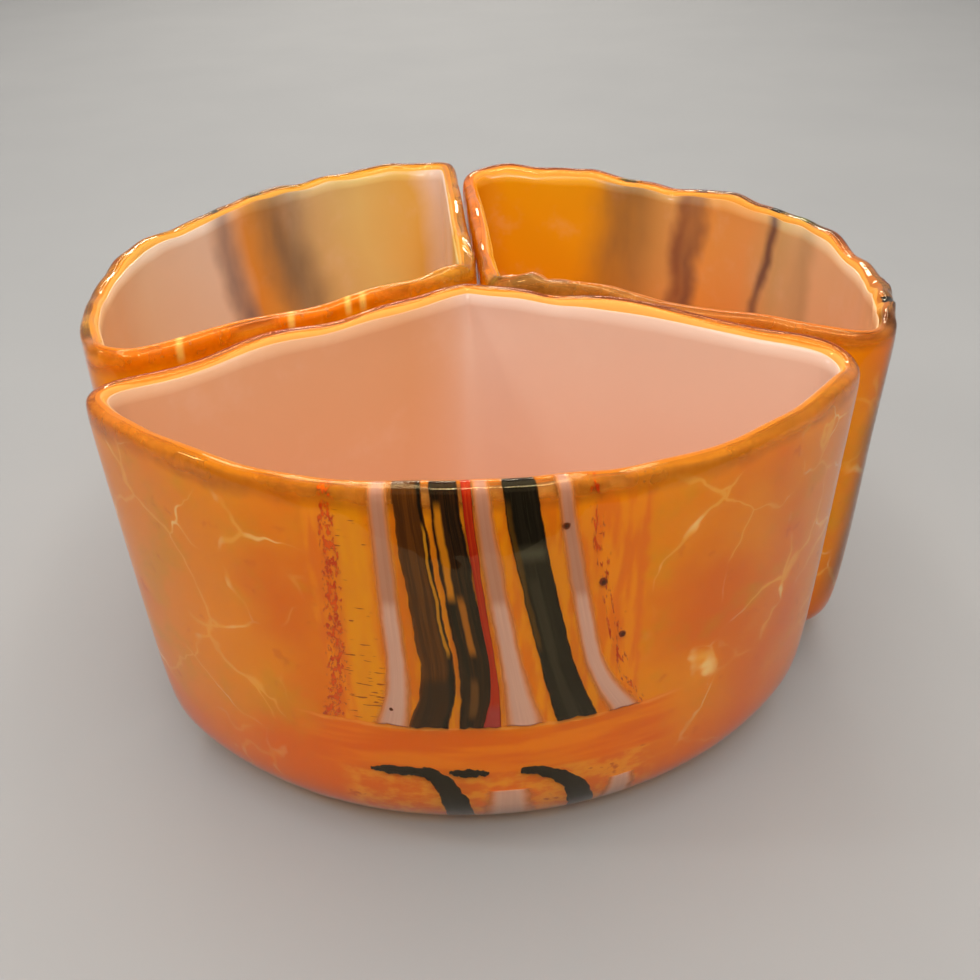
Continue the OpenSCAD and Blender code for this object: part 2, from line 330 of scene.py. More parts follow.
def amber_material(name, rim, glow, opal, solid=(0.2, 0.8), bars=(), streak=0,
                   front=False):
    """Orange glass, mottled, split into large cells with the pale lining in the splits.
    rim: (u, colour) round the rim; glow and opal: colours of the rim's inner edge and side;
    solid: least and most cover of the rim's colour; bars: how far from the bowl's inner corner,
    in mm along X, pale bars cross the flat side's rim; streak: angle of a dark streak."""
    m = Maker(name)
    at = m.place_of()
    u, v = m.wall()
    patch = m.noise(at, 20, 3)
    base = m.mix(m.fit(patch, 0.38, 0.62), rgb(226, 126, 2), rgb(236, 160, 10))
    blotch = m.noise(at, 55, 4, 0.6)
    base = m.mix(m.math("MULTIPLY", m.fit(blotch, 0.5, 0.72), 0.5), base, rgb(206, 168, 12))
    freckle = m.noise(at, 170, 3, 0.6)
    base = m.mix(m.math("MULTIPLY", m.fit(freckle, 0.62, 0.72), 0.3), base, rgb(196, 96, 6))
    low = m.fit(m.math("MULTIPLY_ADD", patch, 0.3, v), 0.68, 0.28)
    base = m.mix(m.math("MULTIPLY", low, 0.8), base, rgb(234, 116, 10))
    shown = m.fit(m.noise(at, 30, 2), 0.46, 0.6)
    if not front:
        base = veins(m, at, base, m.math("MULTIPLY", shown, 0.7), 40.0)
        base = rim_tones(m, base, v, tone_ring(m, u, rim), glow, opal, at, solid)
        x = m.add("ShaderNodeSeparateXYZ", {0: at}).outputs[0]
        flat_rim = m.math("MULTIPLY", m.fit(u, 0.5, 0.54), m.fit(v, 1.08, 1.11))
        for bar in bars:
            here = SET_X + PLACES["rear_left"][0] - bar * MM
            mask = span(m, x, here - BAR / 2, here + BAR / 2, BAR / 3)
            base = m.mix(m.math("MULTIPLY", mask, flat_rim), base, rgb(250, 214, 130))
        if streak:
            mask = m.stripe(u, v, streak, streak - 2, 3, 2, m.fit(patch, 0.3, 0.7, -0.01, 0.01))
            flat_way = m.stretched(at, 1, 1, 0)
            out = m.add("ShaderNodeVectorMath", {0: flat_way}, operation="LENGTH").outputs["Value"]
            round_side = both(m, m.fit(out, 0.88 * SET_RADIUS, 0.93 * SET_RADIUS),
                              m.fit(v, 0.16, 0.36))
            mask = both(m, mask, round_side)
            base = m.mix(m.math("MULTIPLY", mask, 0.75), base, rgb(84, 42, 26))
        matt_inside(m, base)
        return m.material
    side = m.fit(u, 0.12, 0.24)
    left = m.fit(u, -0.2, -0.26, 0.0, 0.8)
    shown = m.math("MULTIPLY", m.fit(m.noise(at, 40, 3), 0.42, 0.6), side)
    some = m.math("MULTIPLY", m.fit(m.noise(at, 33, 2), 0.5, 0.6), left)
    shown = m.math("MULTIPLY", m.math("MAXIMUM", shown, some), m.fit(v, 0.3, 0.5, 0.35, 1.0))
    base = veins(m, at, base, shown, 42.0)
    # the ground between the canes
    flat = m.add("ShaderNodeCombineXYZ", {0: u, 1: v})
    wobble = m.noise(m.stretched(flat.outputs[0], 60, 30, 1), 1.0, 3)
    edge_u = m.math("MULTIPLY_ADD", wobble, 0.016, m.math("SUBTRACT", u, 0.008))
    edge_v = m.math("MULTIPLY_ADD", wobble, 0.014, m.math("SUBTRACT", v, 0.007))
    panel = both(m, span(m, edge_u, -0.205, 0.17, 0.006), m.fit(edge_v, 0.461, 0.467))
    long_way = m.noise(m.stretched(flat.outputs[0], 75, 6, 1), 1.0, 3)
    ground = m.mix(m.fit(long_way, 0.4, 0.62), rgb(230, 134, 20), rgb(240, 160, 16))
    yellow = span(m, u, -0.172, -0.135, 0.01)
    ground = m.mix(m.math("MULTIPLY", yellow, 0.7), ground, rgb(234, 176, 10))
    dash = m.noise(m.stretched(flat.outputs[0], 38, 120, 1), 1.0, 2, 0.5)
    low_left = m.fit(v, 0.95, 0.5, 0.68, 0.6)
    flecks = m.fit(m.math("SUBTRACT", dash, low_left), 0.0, 0.03)
    flecks = both(m, flecks, span(m, u, -0.18, -0.132, 0.006))
    ground = m.mix(m.math("MULTIPLY", flecks, 0.85), ground, rgb(130, 38, 6))
    drops = m.noise(m.stretched(flat.outputs[0], 110, 95, 1), 1.0, 2)
    spots = both(m, m.fit(drops, 0.7, 0.74), m.fit(u, 0.09, 0.11))
    ground = m.mix(m.math("MULTIPLY", spots, 0.8), ground, rgb(150, 44, 6))
    base = m.mix(panel, base, ground)
    # the plain band under the canes, with a bright line along the cut
    sideways = m.noise(m.stretched(flat.outputs[0], 5, 20, 1), 1.0, 4)
    band = both(m, span(m, edge_u, -0.24, 0.22, 0.03), span(m, edge_v, 0.30, 0.464, 0.004))
    plain = m.mix(m.fit(sideways, 0.4, 0.62), rgb(226, 112, 4), rgb(240, 146, 14))
    base = m.mix(m.math("MULTIPLY", band, 0.8), base, plain)
    line = both(m, band, span(m, edge_v, 0.452, 0.463, 0.004), m.fit(sideways, 0.4, 0.55))
    base = m.mix(m.math("MULTIPLY", line, 0.6), base, rgb(250, 186, 90))
    # the ground round the painted refraction at the foot
    foot_zone = both(m, span(m, edge_u, -0.2, 0.2, 0.02), m.fit(edge_v, 0.31, 0.295))
    mixed = m.noise(m.stretched(flat.outputs[0], 22, 18, 1), 1.0, 4, 0.6)
    under = m.mix(m.fit(mixed, 0.4, 0.6), rgb(226, 120, 24), rgb(240, 170, 50))
    under = m.mix(m.math("MULTIPLY", m.fit(mixed, 0.6, 0.68), 0.7), under, rgb(170, 50, 20))
    base = m.mix(m.math("MULTIPLY", foot_zone, 0.85), base, under)
    matt_inside(m, rim_tones(m, base, v, tone_ring(m, u, rim), glow, opal, at, solid))
    return m.material


def opal_material(name, tones, cane_shade_stripes=(), deep=None):
    """Opaque opal. tones: (u, colour) round the inside, on the rear linings partly painted light,
    the amber wall's glow seen through the lining; the stripes are painted shade of the outer canes,
    seen through the lining.
    """
    m = Maker(name)
    at = m.place_of()
    u, v = m.wall()
    cloud = m.noise(at, 16, 3)
    wander = m.math("MULTIPLY_ADD", cloud, 0.12, m.math("SUBTRACT", u, 0.06))
    base = tone_ring(m, wander, tones)
    pale = m.noise(at, 50, 4, 0.6)
    base = m.mix(m.math("MULTIPLY", m.fit(pale, 0.5, 0.75), 0.15), base, rgb(250, 222, 200))
    # a colour that grows towards the bottom of the hollow; on the rear linings it is painted light
    # from the amber wall behind
    if deep:
        amount = m.math("MULTIPLY", m.fit(m.math("MULTIPLY_ADD", cloud, 0.3, v), 1.05, 0.6),
                        deep[1])
        base = m.mix(amount, base, deep[0])
    wobble = m.math("MULTIPLY_ADD", m.noise(at, 38, 3), 0.07, -0.035)
    uneven = m.fit(m.noise(m.stretched(at, 1, 1, 0.35), 60, 3), 0.3, 0.65, 0.55, 1.0)
    # stripes of painted shade: the outer canes darken the light seen through the lining
    for colour, top, foot, width, soft, strength in cane_shade_stripes:
        mask = m.stripe(u, v, top, foot, width, soft, wobble)
        base = m.mix(m.math("MULTIPLY", m.math("MULTIPLY", mask, uneven), strength), base, colour)
    m.link(base, m.shader.inputs["Base Color"])
    m.shader.inputs["Roughness"].default_value = 0.2
    m.bump(m.noise(at, 40, 2), 0.1, 0.001)
    return m.material


def cane_material(name, core, fringe, fringe_width, fibre, streaks=(), fade=0.1):
    """A drawn cane. Its own UV is (0 to 1 across, height over 100 mm). Streaks run along it:
    (place across, half width, low height, high height, colour, strength)."""
    m = Maker(name)
    uv = m.add("ShaderNodeUVMap", uv_map="cane").outputs["UV"]
    split = m.add("ShaderNodeSeparateXYZ", {0: uv})
    x, y = split.outputs[0], split.outputs[1]
    threads = m.noise(m.stretched(uv, 5, 1.6, 1), 1.0, 4, 0.6)
    base = m.mix(m.fit(threads, 0.42, 0.6), core[0], core[1])
    fine = m.noise(m.stretched(uv, 16, 3.5, 1), 1.0, 3, 0.6)
    base = m.mix(m.math("MULTIPLY", m.fit(fine, 0.54, 0.7), fibre[1]), base, fibre[0])
    wave = m.noise(m.stretched(uv, 1.2, 9, 1), 1.0, 3)
    x_bent = m.math("MULTIPLY_ADD", wave, 0.22, m.math("SUBTRACT", x, 0.11))
    for at_x, half, low, high, colour, strength in streaks:
        away = m.math("ABSOLUTE", m.math("SUBTRACT", x_bent, at_x))
        mask = both(m, m.fit(away, half * 1.3, half * 0.5), span(m, y, low, high, 0.02))
        base = m.mix(m.math("MULTIPLY", mask, strength), base, colour)
    rag = m.noise(m.stretched(uv, 3, 14, 1), 1.0, 4, 0.6)
    side = m.math("MULTIPLY", m.math("ABSOLUTE", m.math("SUBTRACT", x, 0.5)), 2)
    side = m.math("MULTIPLY_ADD", rag, 0.3, m.math("SUBTRACT", side, 0.15))
    base = m.mix(m.fit(side, 1 - fringe_width, 1.0 - 0.4 * fade), base, fringe)
    matt_inside(m, base)
    m.link(m.fit(side, 1.0, 1 - fade), m.shader.inputs["Alpha"])
    return m.material


def spot_material(name, core, edge):
    """A round dark spot that fades at its edge, from its place across and the piece's own map."""
    m = Maker(name)
    uv = m.add("ShaderNodeUVMap", uv_map="spot").outputs["UV"]
    away = m.add("ShaderNodeVectorMath", {0: uv}, operation="LENGTH").outputs["Value"]
    rag = m.noise(m.place_of(), 900, 2)
    away = m.math("MULTIPLY_ADD", rag, 0.5, m.math("SUBTRACT", away, 0.25))
    matt_inside(m, m.mix(m.fit(away, 0.3, 0.8), core, edge))
    m.link(m.fit(away, 0.9, 0.65), m.shader.inputs["Alpha"])
    return m.material


def speckled_material(name, speck, amount, stretch):
    """Brush-like marks of red with clear glass between them. Its own UV is as for a cane."""
    m = Maker(name)
    uv = m.add("ShaderNodeUVMap", uv_map="cane").outputs["UV"]
    split = m.add("ShaderNodeSeparateXYZ", {0: uv})
    marks = m.noise(m.stretched(uv, stretch[0], stretch[1], 1), 1.0, 5, 0.65)
    tone = m.noise(m.stretched(uv, 3, 30, 1), 1.0, 3)
    side = m.math("MULTIPLY", m.math("ABSOLUTE", m.math("SUBTRACT", split.outputs[0], 0.5)), 2)
    limit = m.fit(side, 0.2, 1.0, amount, 0.8)
    mask = m.fit(m.math("SUBTRACT", marks, limit), -0.02, 0.06)
    matt_inside(m, m.mix(m.fit(tone, 0.42, 0.6), speck[0], speck[1]))
    m.link(mask, m.shader.inputs["Alpha"])
    return m.material


# ---------------------------------------------------------------- the three bowls
def key(co):
    return tuple(round(c * 20000) for c in co)


def seam_points(lining, middle):
    """Corner points of the lining's outer face, where it meets the casing."""
    return {key(v.co) for v in lining.verts if v.normal.dot(v.co - middle) > 0}


def glass_body(bowl):
    """The clear casing. Its hidden inner face is sunk into the lining, so no air lies between.
    The hidden faces carry material number 1 until the colour layer has been cut from them."""
    middle = place(bowl) @ Vector((0, -0.58 * SET_RADIUS, MIDDLE_Z))
    lining = cad_copy(f"{bowl}_lining")
    seam = seam_points(lining, middle)
    lining.free()
    bm = cad_copy(f"{bowl}_casing")
    sunk = {vert for vert in bm.verts if key(vert.co) in seam}
    for face in bm.faces:
        face.material_index = 1 if all(vert in sunk for vert in face.verts) else 0
    for vert in sunk:
        if vert.co.z > RIM_Z - 2 * LIP:
            away = vert.co - middle
            away.z = 0
            vert.co = vert.co + away.normalized() * 0.3 * MM - Vector((0, 0, 0.9 * MM))
        else:
            vert.co = vert.co + vert.normal * 0.9 * MM
    return smoothed(bm, 2)


def lining_body(bowl):
    """The opal lining, with a crisp top edge that runs a little way up into the rim."""
    bm = cad_copy(f"{bowl}_lining")
    crease = bm.edges.layers.float.new("crease_edge")
    for edge in bm.edges:
        high = all(vert.co.z > RIM_Z - 2 * LIP for vert in edge.verts)
        if high and edge.calc_face_angle(0) > math.radians(35):
            edge[crease] = 1.0
    for vert in bm.verts:
        if vert.co.z > RIM_Z - 2 * LIP:
            vert.co.z += LINING_RISE
    return smoothed(bm, 2)


def round_apex(bm, bowl):
    """Softens the inner corner of the hollow into a slow curve."""
    inverse = place(bowl).inverted()
    middle = place(bowl) @ Vector((0, -0.58 * SET_RADIUS, MIDDLE_Z))
    bm.normal_update()
    chosen = []
    for vert in bm.verts:
        local = inverse @ vert.co
        near = math.hypot(local.x, local.y) < 52 * MM
        if near and 12 * MM < local.z < 103 * MM and vert.normal.dot(middle - vert.co) > 0:
            chosen.append(vert)
    for _ in range(260):
        bmesh.ops.smooth_vert(
            bm, verts=chosen, factor=0.5, use_axis_x=True, use_axis_y=True, use_axis_z=False)


def surface_of(bm):
    bm.normal_update()
    return BVHTree.FromBMesh(bm)


def amber_layer(glass, bowl, depth, thickness):
    """A skin of colour at a depth inside the casing, from the foot over the rim to the lining.
    Its point value "inner" is 1 on the side of the rim that faces the hollow."""
    bm = glass.copy()
    gone = [f for f in bm.faces if f.material_index == 1]
    bmesh.ops.delete(bm, geom=gone, context="FACES")
    bm.normal_update()
    middle = place(bowl) @ Vector((0, -0.58 * SET_RADIUS, MIDDLE_Z))
    inner = bm.verts.layers.float.new("inner")
    inward, sunk = {}, {}
    for vert in bm.verts:
        flat = middle - vert.co
        flat.z = 0
        rim_side = flat.normalized().dot(vert.normal)
        vert[inner] = ramp(rim_side, 0.0, 0.8) * ramp(vert.co.z, 0.9 * RIM_Z, 0.95 * RIM_Z)
        thin = 1 - 0.55 * ramp(vert.co.z, 0.94 * RIM_Z, 0.98 * RIM_Z) * (1 - vert[inner])
        inward[vert] = vert.normal * thickness * thin
        sunk[vert] = vert.co - vert.normal * depth * (1 - 0.8 * vert[inner])
        if vert.is_boundary:
            sunk[vert].z -= 0.9 * MM
    for vert, co in sunk.items():
        vert.co = co
    thicken(bm, inward)
    return bm


def thicken(bm, inward):
    """Closes a skin into a thin solid. inward: how far each corner point's twin moves back."""
    spots = {vert: vert.co.copy() for vert in bm.verts}
    back = bmesh.ops.extrude_face_region(bm, geom=list(bm.faces), use_keep_orig=True)
    twins = [g for g in back["geom"] if isinstance(g, bmesh.types.BMVert)]
    lookup = {tuple(co): inward[vert] for vert, co in spots.items()}
    for vert in twins:
        vert.co = vert.co - lookup[tuple(vert.co)]
    bmesh.ops.recalc_face_normals(bm, faces=bm.faces)


def on_wall(bowl, angle, rise):
    """Roughly the point of the outer face at an angle in degrees and a height. A rise past the
    straight wall goes on round the rim."""
    if rise > RIM_Z - LIP:
        turn = (rise - RIM_Z + LIP) / LIP
        radius = SET_RADIUS - LIP + LIP * math.cos(turn)
        z = RIM_Z - LIP + LIP * math.sin(turn)
    else:
        z = rise
        radius = SET_RADIUS - 3.5 * MM * (1 - z / RIM_Z)
        if z < BEND:
            radius -= BEND - math.sqrt(max(0.0, BEND ** 2 - (BEND - z) ** 2))
    angle = math.radians(angle)
    return place(bowl) @ Vector((radius * math.sin(angle), -radius * math.cos(angle), z))


def eased(stations, t):
    """Smooth values along a list of (place, value, value) stations, t from 0 to 1."""
    spot = t * (len(stations) - 1)
    i = min(int(spot), len(stations) - 2)
    f = spot - i
    rows = [stations[max(0, min(len(stations) - 1, i + k))] for k in (-1, 0, 1, 2)]
    out = []
    for a, b, c, d in zip(*rows):
        out.append(0.5 * (2 * b + (c - a) * f + (2 * a - 5 * b + 4 * c - d) * f * f
                          + (3 * b - 3 * c + d - a) * f * f * f))
    return out


def ribbon(name, bowl, stations, depth, material, finish, nodes, ragged=0.2, end_rag=0.5,
           level=False):
    """A cane under the surface. stations: (height in mm, angle in degrees, width in mm). Its
    width is taken along the wall's circle if it is level, else square to its run."""
    bm = bmesh.new()
    bmesh.ops.create_grid(bm, x_segments=10, y_segments=90, size=1.0)
    layer = bm.loops.layers.uv.new("cane")
    round_map = bm.loops.layers.uv.new("spot")
    grid = {}
    skin = skins[bowl]
    seed = float(len(name)) * 3.7 + stations[0][1]
    spots, inward = {}, {}
    for vert in bm.verts:
        s, t = vert.co.x, (1 - vert.co.y) / 2
        rise, angle, width = eased(stations, t)
        ahead = eased(stations, min(1.0, t + 0.01))
        behind = eased(stations, max(0.0, t - 0.01))
        run = Vector(((ahead[1] - behind[1]) * 2.0, ahead[0] - behind[0]))
        run.normalize()
        if level:
            run = Vector((0.0, -1.0))
        edge = noise.noise(Vector((s * 0.7 + seed, t * 8, seed))) * ragged * 2
        edge += noise.noise(Vector((s * 0.7 + seed, t * 26, seed))) * ragged
        out = s * width / 2 + edge * abs(s)
        end = (1.5 * t - 0.75) * 2 * noise.noise(Vector((s * 2.2, seed, 0))) * end_rag
        if 0.02 < t < 0.98:
            end = 0
        rise = rise + out * run.x + end
        angle = angle - out * run.y / 2.0
        guess = on_wall(bowl, angle, rise * MM)
        spot, normal, _, _ = skin.find_nearest(guess)
        spots[vert.index] = ((s + 1) / 2, rise / 100)
        grid[vert.index] = (s, 2 * t - 1)
        vert.co = spot - normal * depth * MM
        inward[vert] = normal * 0.6 * MM
    for face in bm.faces:
        for loop in face.loops:
            loop[layer].uv = spots[loop.vert.index]
            loop[round_map].uv = grid[loop.vert.index]
    thicken(bm, inward)
    return add_piece(name, bm, material, f"{bowl}_bowl", *nodes, finish=finish)


BEND = 23 * MM
BAR = 1.6 * MM
LINING_RISE = 1.2 * MM
AMBER_TINT = (0.975, 0.76, 0.05, 1)
clear_amber = glass_material("clear_amber_glass", AMBER_TINT, 270)
GLOW = rgb(208, 124, 22)
amber_front = amber_material(
    "amber_layer_front_glass",
    [(-0.62, rgb(214, 128, 60)), (-0.35, rgb(214, 136, 30)), (0.0, rgb(206, 124, 40)),
     (0.35, rgb(204, 140, 44)), (0.62, rgb(220, 140, 60))],
    GLOW, rgb(228, 172, 92), (0.1, 0.6), front=True)
amber_left = amber_material(
    "amber_layer_rear_left_glass",
    [(-0.62, rgb(214, 150, 60)), (-0.52, rgb(226, 168, 40)), (-0.3, rgb(216, 176, 30)),
     (-0.22, rgb(60, 60, 60)), (-0.17, rgb(222, 150, 60)), (-0.09, rgb(44, 48, 60)),
     (-0.03, rgb(208, 160, 40)), (0.3, rgb(200, 140, 50)), (0.45, rgb(220, 170, 70)),
     (0.56, rgb(240, 132, 6)), (0.62, rgb(238, 124, 4))],
    rgb(204, 126, 26), rgb(226, 174, 84), (0.1, 0.6), bars=(35, 39, 54, 81))
amber_right = amber_material(
    "amber_layer_rear_right_glass",
    [(-0.62, rgb(230, 122, 16)), (-0.54, rgb(170, 120, 70)), (-0.4, rgb(120, 96, 70)),
     (-0.26, rgb(220, 140, 80)), (-0.16, rgb(70, 70, 56)), (-0.08, rgb(170, 150, 50)),
     (-0.03, rgb(50, 52, 50)), (0.06, rgb(90, 76, 56)), (0.14, rgb(212, 160, 90)),
     (0.3, rgb(238, 150, 30)), (0.62, rgb(240, 140, 20))],
    rgb(200, 114, 22), rgb(226, 164, 72), (0.1, 0.6), streak=-52)
pink_opal = opal_material(
    "pink_opal",
    [(-0.6, rgb(236, 184, 142)), (-0.45, rgb(232, 176, 130)), (-0.1, rgb(238, 198, 174)),
     (0.25, rgb(240, 204, 184)), (0.6, rgb(240, 202, 178))],
    deep=(rgb(232, 178, 142), 0.5))
# The rear linings: their own pale opal with painted light, the amber wall's glow seen through the
# lining and strongest low down, and stripes of painted shade where the outer canes stand
left_opal = opal_material(
    "rear_left_opal",
    [(-0.6, rgb(248, 222, 206)), (-0.55, rgb(244, 212, 190)), (-0.5, rgb(234, 182, 86)),
     (-0.4, rgb(232, 200, 122)), (-0.3, rgb(218, 184, 124)), (-0.24, rgb(190, 160, 118)),
     (-0.19, rgb(228, 160, 72)), (-0.14, rgb(226, 150, 60)), (-0.05, rgb(238, 212, 190)),
     (0.15, rgb(242, 208, 176)), (0.35, rgb(246, 186, 130)), (0.6, rgb(246, 190, 130))],
    [(rgb(96, 96, 108), -8.3, -14.5, 3, 3, 0.85), (rgb(116, 98, 78), -19, -35, 5, 6, 0.8)],
    deep=(rgb(232, 160, 90), 0.15))
right_opal = opal_material(
    "rear_right_opal",
    [(-0.6, rgb(246, 190, 130)), (-0.4, rgb(246, 196, 150)), (-0.2, rgb(238, 196, 148)),
     (-0.1, rgb(214, 178, 120)), (-0.02, rgb(236, 168, 96)), (0.08, rgb(238, 168, 84)),
     (0.16, rgb(226, 170, 98)), (0.24, rgb(196, 146, 76)), (0.32, rgb(242, 168, 24)),
     (0.5, rgb(244, 166, 10)), (0.6, rgb(236, 140, 8))],
    [(rgb(120, 92, 66), 26, 31, 4, 7, 0.7), (rgb(112, 66, 60), 12.4, 19, 2, 2, 0.8),
     (rgb(92, 62, 66), 10, 16, 1.5, 2, 0.8), (rgb(88, 66, 70), -5.9, 0, 1.6, 1.6, 0.85),
     (rgb(150, 130, 90), -16.5, -14, 2, 4, 0.4)],
    deep=(rgb(236, 130, 12), 0.45))

white_cane = cane_material(
    "white_cane_glass", (rgb(208, 174, 180), rgb(216, 184, 188)), rgb(218, 142, 84), 0.7,
    (rgb(202, 160, 158), 0.15),
    [(0.5, 0.6, 0.84, 1.3, rgb(170, 112, 84), 0.6)], fade=0.55)
brown_cane = cane_material(
    "brown_cane_glass", (rgb(74, 38, 8), rgb(98, 54, 12)), rgb(120, 60, 6), 0.12,
    (rgb(128, 74, 16), 0.5),
    [(0.96, 0.16, 0.3, 1.3, rgb(16, 8, 4), 1.0), (0.86, 0.05, 0.7, 1.05, rgb(216, 150, 30), 0.8),
     (0.5, 0.5, 0.3, 0.62, rgb(30, 18, 12), 0.7)])
dark_cane = cane_material(
    "dark_brown_cane_glass", (rgb(22, 10, 4), rgb(50, 26, 8)), rgb(60, 22, 6), 0.15,
    (rgb(96, 52, 12), 0.4),
    [(0.24, 0.12, 0.86, 1.1, rgb(212, 136, 20), 0.95), (0.5, 0.1, 0.7, 0.86, rgb(190, 116, 30), 0.8),
     (0.42, 0.14, 0.5, 0.62, rgb(130, 84, 40), 0.6), (0.96, 0.1, 0.3, 1.3, rgb(20, 8, 4), 0.9)])
black_cane = cane_material(
    "black_cane_glass", (rgb(14, 8, 4), rgb(26, 20, 14)), rgb(40, 22, 8), 0.12,
    (rgb(60, 56, 44), 0.35),
    [(0.5, 0.5, 0.955, 0.985, rgb(96, 96, 84), 0.55), (0.42, 0.16, 0.46, 0.9, rgb(70, 66, 54), 0.35),
     (0.08, 0.12, 0.7, 1.1, rgb(96, 66, 10), 0.7)])
red_thread_glass = cane_material(
    "red_thread_glass", (rgb(172, 30, 8), rgb(186, 56, 14)), rgb(150, 20, 4), 0.25,
    (rgb(120, 8, 2), 0.5), [(0.5, 0.6, 0.3, 0.53, rgb(168, 60, 64), 0.9)])
spot_glass = spot_material("dark_spot_glass", rgb(60, 18, 8), rgb(130, 50, 12))
red_band_glass = speckled_material(
    "red_speckled_glass", (rgb(222, 98, 8), rgb(196, 64, 4)), 0.5, (8, 42))
red_fleck_glass = speckled_material(
    "red_fleck_glass", (rgb(214, 88, 6), rgb(176, 52, 4)), 0.55, (7, 20))
grey_cane = cane_material("grey_cane_glass", (rgb(44, 48, 60), rgb(78, 80, 88)),
                          rgb(150, 110, 30), 0.4, (rgb(150, 130, 60), 0.4))
smoke_cane = cane_material("smoke_cane_glass", (rgb(70, 60, 44), rgb(116, 96, 50)),
                           rgb(190, 120, 20), 0.5, (rgb(60, 56, 60), 0.5))
plum_cane = cane_material("plum_cane_glass", (rgb(60, 34, 40), rgb(100, 60, 56)),
                          rgb(190, 110, 30), 0.35, (rgb(180, 110, 60), 0.3))
green_cane = cane_material("green_cane_glass", (rgb(84, 88, 30), rgb(130, 128, 40)),
                           rgb(60, 62, 40), 0.3, (rgb(40, 44, 40), 0.4))

OPALS = {"front": pink_opal, "rear_left": left_opal, "rear_right": right_opal}
AMBERS = {"front": amber_front, "rear_left": amber_left, "rear_right": amber_right}
skins = {}

for bowl in PLACES:
    body = f"{bowl}_bowl"
    glass = glass_body(bowl)
    hand_worked(glass, bowl)
    skins[bowl] = surface_of(glass)
    layer = amber_layer(glass, bowl, 1.15 * MM, 1.1 * MM)
    for face in glass.faces:
        face.material_index = 0
    wall_map(layer, bowl)
    add_piece(f"{bowl}_amber_layer", layer, AMBERS[bowl], body, finish="amber_glass")
    wall_map(glass, bowl)
    add_piece(f"{bowl}_clear_casing", glass, clear_amber, body, f"{bowl}_casing",
              finish="amber_glass")
    lining = lining_body(bowl)
    round_apex(lining, bowl)
    hand_worked(lining, bowl)
    wall_map(lining, bowl)
    add_piece(f"{bowl}_opal_lining", lining, OPALS[bowl], body, f"{bowl}_lining",
              finish="opal_glass")

# The canes go over the rim to its inner edge
OVER = 117.5
# The height of the cut that ends the panel of canes, and where they start to spread above it
CUT, SPREAD_FROM = 46.5, 0.78


def panel_cane(angle, lean, swing, wide, grow, foot):
    """A cane from the rim to the cut. It leans by lean degrees on its way down, the tool at the
    cut swings its end by swing degrees, and its width goes from wide by grow to foot, in mm."""
    stations = []
    for i in range(8):
        t = i / 7
        pulled = ramp(t, SPREAD_FROM, 1)
        width = (wide + grow * t) * (1 - pulled) + foot * pulled
        stations.append((OVER + (CUT - OVER) * t, angle + lean * t ** 1.3 + swing * pulled, width))
    return stations


# Each front cane: looks, slot, depth, ragged edge, then angle, lean, swing, wide, grow, foot
FRONT_CANES = [
    ("front_red_band", red_band_glass, "red_glass", 0.75, 0.5, (-17.5, -2, -1, 7, 4, 11)),
    ("front_white_cane_left", white_cane, "white_glass", 0.6, 0.15, (-12, 0.5, -1.5, 5, 2, 11)),
    ("front_brown_cane_left", brown_cane, "brown_glass", 0.5, 0.2, (-9, 3, -2.5, 6, 2.5, 10)),
    ("front_brown_cane_right", dark_cane, "brown_glass", 0.55, 0.2, (-5.3, 4, -2, 6, 2.5, 6.5)),
    ("front_red_thread", red_thread_glass, "red_glass", 0.45, 0.1, (-3, 3.5, -1.5, 2.2, -1, 4.5)),
    ("front_white_cane_middle", white_cane, "white_glass", 0.62, 0.15, (-1.5, 4.5, 0, 4.5, 3, 12)),
    ("front_black_cane", black_cane, "black_glass", 0.48, 0.15, (2.4, 6.5, 0.5, 7.2, 1, 10.5)),
    ("front_white_cane_right", white_cane, "white_glass", 0.6, 0.15, (7, 6, 2.5, 4, 2.5, 10)),
    ("front_red_flecks", red_fleck_glass, "red_glass", 0.8, 0.3, (10, 6, 1.5, 7, -1, 8)),
]
for name, material, finish, depth, ragged, run in FRONT_CANES:
    ribbon(name, "front", panel_cane(*run), depth, material, finish, [name], ragged,
           level=True)

# Small dark spots of glass in the front wall: height, angle, width
SPOTS = [(103.2, 7.4, 2.2), (86.4, 11.8, 2.2), (70, 14.5, 1.9), (52, -12.9, 1.3)]
for i, (rise, angle, width) in enumerate(SPOTS):
    stations = [(rise + width / 2, angle, width), (rise, angle, width),
                (rise - width / 2, angle, width)]
    ribbon(f"front_spot_{i + 1}", "front", stations, 0.44, spot_glass, "black_glass", [], 0.1, 0)

REAR_LOW = 30
REAR_CANES = [
    ("rear_left_grey_cane", grey_cane, "grey_glass", (-8.5, -10, -14), (4, 7)),
    ("rear_left_dark_cane", grey_cane, "grey_glass", (-18, -22, -29), (7, 12)),
    ("rear_right_smoke_cane", smoke_cane, "grey_glass", (26, 27, 29), (9, 13)),
    ("rear_right_plum_cane", plum_cane, "plum_glass", (11, 13.5, 16.5), (6, 8)),
    ("rear_right_dark_cane", black_cane, "black_glass", (-5.7, -4, -1.5), (4, 5)),
    ("rear_right_green_cane", green_cane, "green_glass", (-12, -12.5, -13), (9, 9)),
    ("rear_right_end_cane", black_cane, "black_glass", (-46, -46.5, -47), (3, 3)),
]
for name, material, finish, (a0, a1, a2), (w0, w2) in REAR_CANES:
    bowl = "rear_left" if name.startswith("rear_left") else "rear_right"
    stations = [(OVER, a0, w0), (86, (a0 + a1) / 2, w0), (58, (a1 + a2) / 2, (w0 + w2) / 2),
                (REAR_LOW, a2, w2)]
    ribbon(name, bowl, stations, 0.55, material, finish, [name], 0.3, level=True)

# Painted refraction round the foot: the canes' image bent by the curved foot, drawn as dark hooks
# and a lens, with pale patches between
REFRACTION_TOP, REFRACTION_LOW = 30.5, 9


